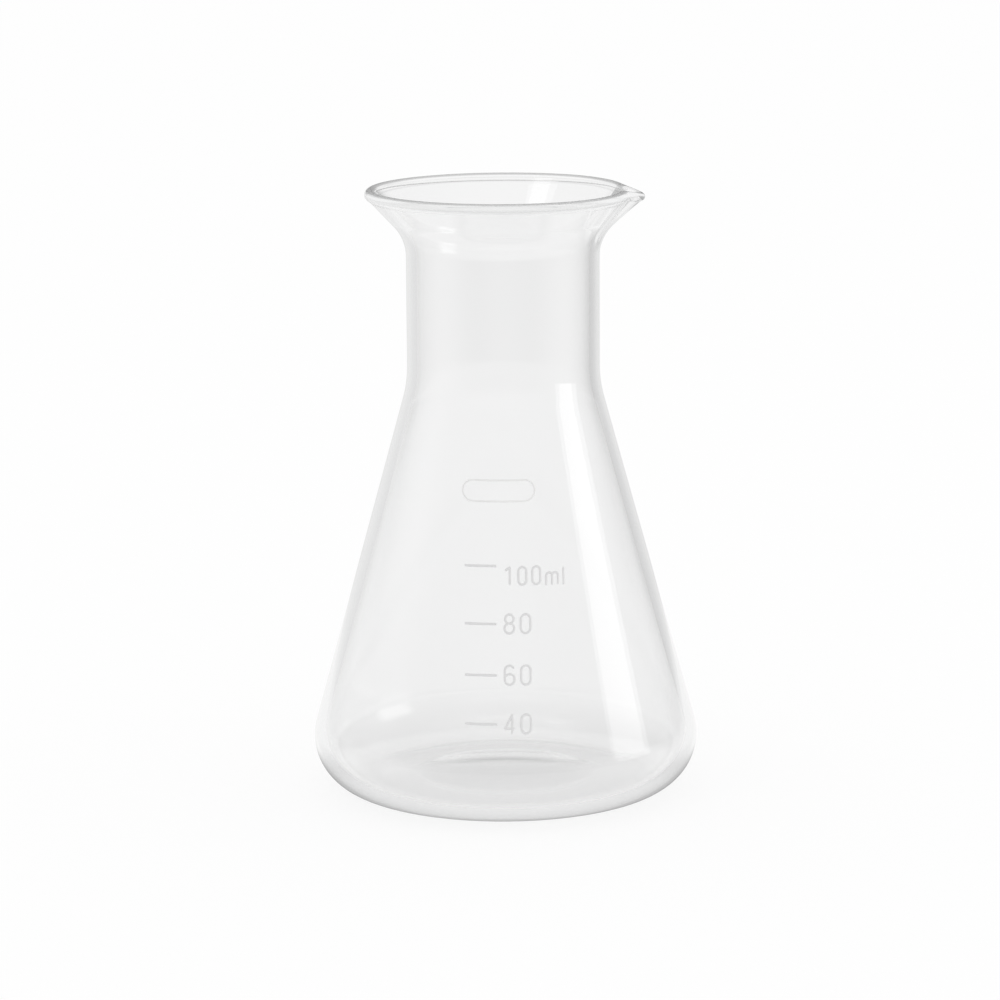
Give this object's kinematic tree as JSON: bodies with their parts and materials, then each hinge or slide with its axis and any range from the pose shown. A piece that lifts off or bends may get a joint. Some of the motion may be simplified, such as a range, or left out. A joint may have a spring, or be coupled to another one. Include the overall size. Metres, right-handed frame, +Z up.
{
  "type": "erlenmeyer flask",
  "caption": "Conical glass laboratory flask with a wide cylindrical neck, a flared mouth with a rounded lip and a pressed spout, a pushed-up base and a printed volume scale.",
  "frame": {"origin": "on the flask's axis, in the plane that its foot stands on", "axes": "+Z up along the flask's axis; the scale faces -Y; the spout points to +X, to the right of someone who reads the scale"},
  "size_m": [0.0668, 0.0668, 0.105],
  "materials": {
    "glass": "clear borosilicate, fire-polished",
    "enamel": "fired-on white enamel, satin",
    "spot_enamel": "thin fired-on white enamel, satin"
  },
  "bodies": {
    "root": {"vessel": "glass", "graduation_line_100": "enamel", "graduation_line_80": "enamel", "graduation_line_60": "enamel", "graduation_line_40": "enamel", "marking_spot": "spot_enamel"}
  },
  "joints": []
}
